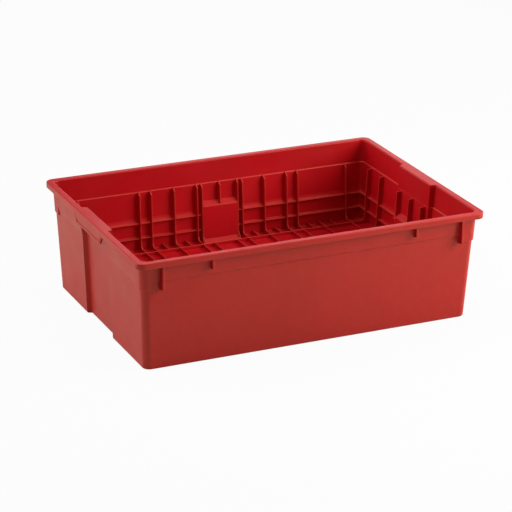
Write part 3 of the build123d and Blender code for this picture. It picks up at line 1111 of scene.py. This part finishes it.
def white_surroundings():
    """World that is white to the camera, lights the tub softly and shows faintly in reflections."""
    stage = bpy.context.scene.tub_stage
    world = bpy.data.worlds.new("white studio")
    bpy.context.scene.world = world
    world.use_nodes = True
    tree = world.node_tree
    tree.nodes.clear()
    path = add_node(tree, "ShaderNodeLightPath")
    mirrored_ray = add_node(
        tree, "ShaderNodeMath",
        {0: path.outputs["Is Glossy Ray"], 1: path.outputs["Is Transmission Ray"]}, operation="MAXIMUM",
    )
    unseen = add_node(
        tree, "ShaderNodeMapRange",
        {"Value": mirrored_ray.outputs["Value"], "To Min": stage.ambient, "To Max": stage.shine},
    )
    seen = add_node(
        tree, "ShaderNodeMath",
        {0: path.outputs["Is Camera Ray"], 1: unseen.outputs["Result"]}, operation="MAXIMUM",
    )
    background = add_node(
        tree, "ShaderNodeBackground", {"Color": WHITE, "Strength": seen.outputs["Value"]},
    )
    add_node(tree, "ShaderNodeOutputWorld", {"Surface": background.outputs["Background"]})


def studio_floor_paint():
    """Matt white studio paint: nearly plain white to the camera, with a trace of the tub's shadow, and
    a pale, warm glow in reflections."""
    looks = bpy.context.scene.tub_looks
    material = bpy.data.materials.new("matt white studio floor")
    material.use_nodes = True
    tree = material.node_tree
    tree.nodes.clear()
    path = add_node(tree, "ShaderNodeLightPath")
    mirrored_ray = path.outputs["Is Glossy Ray"]
    mirrored_share = add_node(
        tree, "ShaderNodeMath", {0: mirrored_ray, 1: MIRRORED_FLOOR_SHARE}, operation="MULTIPLY",
    )
    share = add_node(
        tree, "ShaderNodeMath",
        {0: path.outputs["Is Camera Ray"], 1: FLOOR_WHITE_SHARE, 2: mirrored_share.outputs["Value"]},
        operation="MULTIPLY_ADD",
    )
    colour = add_node(
        tree, "ShaderNodeMix",
        {"Factor": mirrored_ray, "A": looks.floor, "B": looks.floor_glow},
        data_type="RGBA",
    )
    matt = add_node(tree, "ShaderNodeBsdfDiffuse", {"Color": colour.outputs["Result"]})
    white = add_node(tree, "ShaderNodeEmission", {"Color": WHITE, "Strength": 1.0})
    mixed = add_node(
        tree, "ShaderNodeMixShader",
        {0: share.outputs["Value"], 1: matt.outputs["BSDF"], 2: white.outputs["Emission"]},
    )
    add_node(tree, "ShaderNodeOutputMaterial", {"Surface": mixed.outputs["Shader"]})
    return material


def softbox(name, towards, distance, width, power):
    """Adds a square area lamp that looks at the middle of the tub."""
    lamp = bpy.data.lights.new(name, "AREA")
    lamp.shape = "SQUARE"
    lamp.size = width
    lamp.energy = power
    holder = bpy.data.objects.new(name, lamp)
    bpy.context.collection.objects.link(holder)
    aim = Vector((0, 0, rim_corner.z / 2))
    back = Vector(towards).normalized()
    holder.location = aim + back * distance
    holder.rotation_mode = "QUATERNION"
    holder.rotation_quaternion = (-back).to_track_quat("-Z", "Y")


def photo_camera():
    """Adds a camera at the photograph's viewing angle."""
    stage = bpy.context.scene.tub_stage
    turn, lift, roll = stage.azimuth, stage.elevation, stage.roll
    right = Vector((math.cos(turn), math.sin(turn), 0))
    back = Vector((math.sin(turn) * math.cos(lift), -math.cos(turn) * math.cos(lift), math.sin(lift)))
    up = back.cross(right)
    level_right = right * math.cos(roll) + up * math.sin(roll)
    level_up = up * math.cos(roll) - right * math.sin(roll)
    lens = bpy.data.cameras.new("photo_view")
    lens.sensor_width = SENSOR_WIDTH
    lens.lens = stage.focal * lens.sensor_width
    camera = bpy.data.objects.new("photo_view", lens)
    bpy.context.collection.objects.link(camera)
    place = back * stage.distance - level_right * stage.across - level_up * stage.rise
    axes = Matrix((level_right, level_up, back)).transposed().to_4x4()
    camera.matrix_world = Matrix.Translation(place) @ axes
    return camera


class TUB_OT_stage(Operator):
    """Studio floor, lamps and the camera at the photograph's viewing angle"""

    bl_idname = "tub.stage"
    bl_label = "Studio stage"

    def execute(self, context):
        mesh = bmesh.new()
        bmesh.ops.create_grid(mesh, x_segments=1, y_segments=1, size=FLOOR_HALF)
        data = bpy.data.meshes.new("studio_floor")
        mesh.to_mesh(data)
        mesh.free()
        floor = bpy.data.objects.new("studio_floor", data)
        bpy.context.collection.objects.link(floor)
        data.materials.append(studio_floor_paint())
        white_surroundings()
        stage = bpy.context.scene.tub_stage
        for name, (power, towards, distance, width) in SOFTBOXES.items():
            softbox(name, towards, distance, width, getattr(stage, power))
        bpy.context.scene.camera = photo_camera()
        bpy.context.scene.view_settings.view_transform = "Standard"
        return {"FINISHED"}


GROUPS = {
    "tub_sizes": TubSizes,
    "tub_ribs": RibSizes,
    "tub_looks": TubLooks,
    "tub_stage": StageSizes,
}
OPERATORS = (
    TUB_OT_shell,
    TUB_OT_side_ribs,
    TUB_OT_end_ribs,
    TUB_OT_rails,
    TUB_OT_pads,
    TUB_OT_floor_ribs,
    TUB_OT_gussets,
    TUB_OT_stage,
)


class TUB_PT_panel(Panel):
    """Lists the tub's pieces, sizes and colours"""

    bl_idname = "TUB_PT_panel"
    bl_label = "Harvest Tub"
    bl_space_type = "VIEW_3D"
    bl_region_type = "UI"
    bl_category = "Tub"

    def draw(self, context):
        for operator in OPERATORS:
            self.layout.operator(operator.bl_idname)
        for group_name, group in GROUPS.items():
            column = self.layout.column()
            for name in group.__annotations__:
                column.prop(getattr(context.scene, group_name), name)


CLASSES = (*GROUPS.values(), *OPERATORS, TUB_PT_panel)


def register():
    for item in CLASSES:
        bpy.utils.register_class(item)
    for name, group in GROUPS.items():
        setattr(bpy.types.Scene, name, PointerProperty(type=group))


def unregister():
    for name in GROUPS:
        delattr(bpy.types.Scene, name)
    for item in reversed(CLASSES):
        bpy.utils.unregister_class(item)


def main():
    register()
    bpy.ops.tub.shell()
    bpy.ops.tub.side_ribs()
    bpy.ops.tub.end_ribs()
    bpy.ops.tub.rails()
    bpy.ops.tub.pads()
    bpy.ops.tub.floor_ribs()
    bpy.ops.tub.gussets()
    bpy.ops.tub.stage()


if __name__ == "__main__":
    main()
